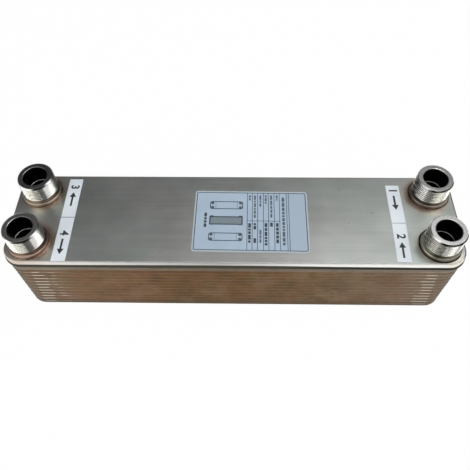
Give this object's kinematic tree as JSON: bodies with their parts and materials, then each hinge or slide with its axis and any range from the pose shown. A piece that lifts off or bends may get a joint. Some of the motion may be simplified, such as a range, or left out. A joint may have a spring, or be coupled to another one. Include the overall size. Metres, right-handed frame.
{
  "type": "brazed plate heat exchanger",
  "caption": "Long flat stack of nested pressed plates between two covers, with four threaded nozzles standing on the front cover.",
  "frame": {"origin": "middle of the body's rim plane, where it stands on its back cover", "axes": "+X along the length, +Z out of the nozzles, +Y away from the picture's viewer"},
  "size_m": [0.335, 0.081, 0.0844],
  "materials": {
    "cover_steel": "satin sheet, faintly brushed along its length, with heat tint round the nozzles",
    "end_plate_steel": "grey heat-dulled steel",
    "brazed_steel": "steel stained brown by the copper braze",
    "nozzle_steel": "bright turned steel",
    "braze_copper": "dull copper braze",
    "label_print": "satin film label",
    "label_tape": "laminated white tape"
  },
  "bodies": {
    "root": {"front_cover": "cover_steel", "back_cover": "brazed_steel", "front_end_plate": "end_plate_steel", "back_end_plate": "brazed_steel", "channel_plate_01": "brazed_steel", "channel_plate_02": "brazed_steel", "channel_plate_03": "brazed_steel", "channel_plate_04": "brazed_steel", "channel_plate_05": "brazed_steel", "channel_plate_06": "brazed_steel", "channel_plate_07": "brazed_steel", "channel_plate_08": "brazed_steel", "channel_plate_09": "brazed_steel", "channel_plate_10": "brazed_steel", "channel_plate_11": "brazed_steel", "channel_plate_12": "brazed_steel", "channel_plate_13": "brazed_steel", "channel_plate_14": "brazed_steel", "channel_plate_15": "brazed_steel", "channel_plate_16": "brazed_steel", "channel_plate_17": "brazed_steel", "channel_plate_18": "brazed_steel", "channel_plate_19": "brazed_steel", "channel_plate_20": "brazed_steel", "seal_ring_left": "nozzle_steel", "seal_ring_right": "nozzle_steel", "nozzle_back_left": "nozzle_steel", "nozzle_back_right": "nozzle_steel", "nozzle_front_left": "nozzle_steel", "nozzle_front_right": "nozzle_steel", "braze_fillet_back_left": "braze_copper", "braze_fillet_back_right": "braze_copper", "braze_fillet_front_left": "braze_copper", "braze_fillet_front_right": "braze_copper", "rating_label": "label_print", "tape_label_back_left": "label_tape", "tape_label_back_right": "label_tape", "tape_label_front_left": "label_tape", "tape_label_front_right": "label_tape"}
  },
  "joints": []
}
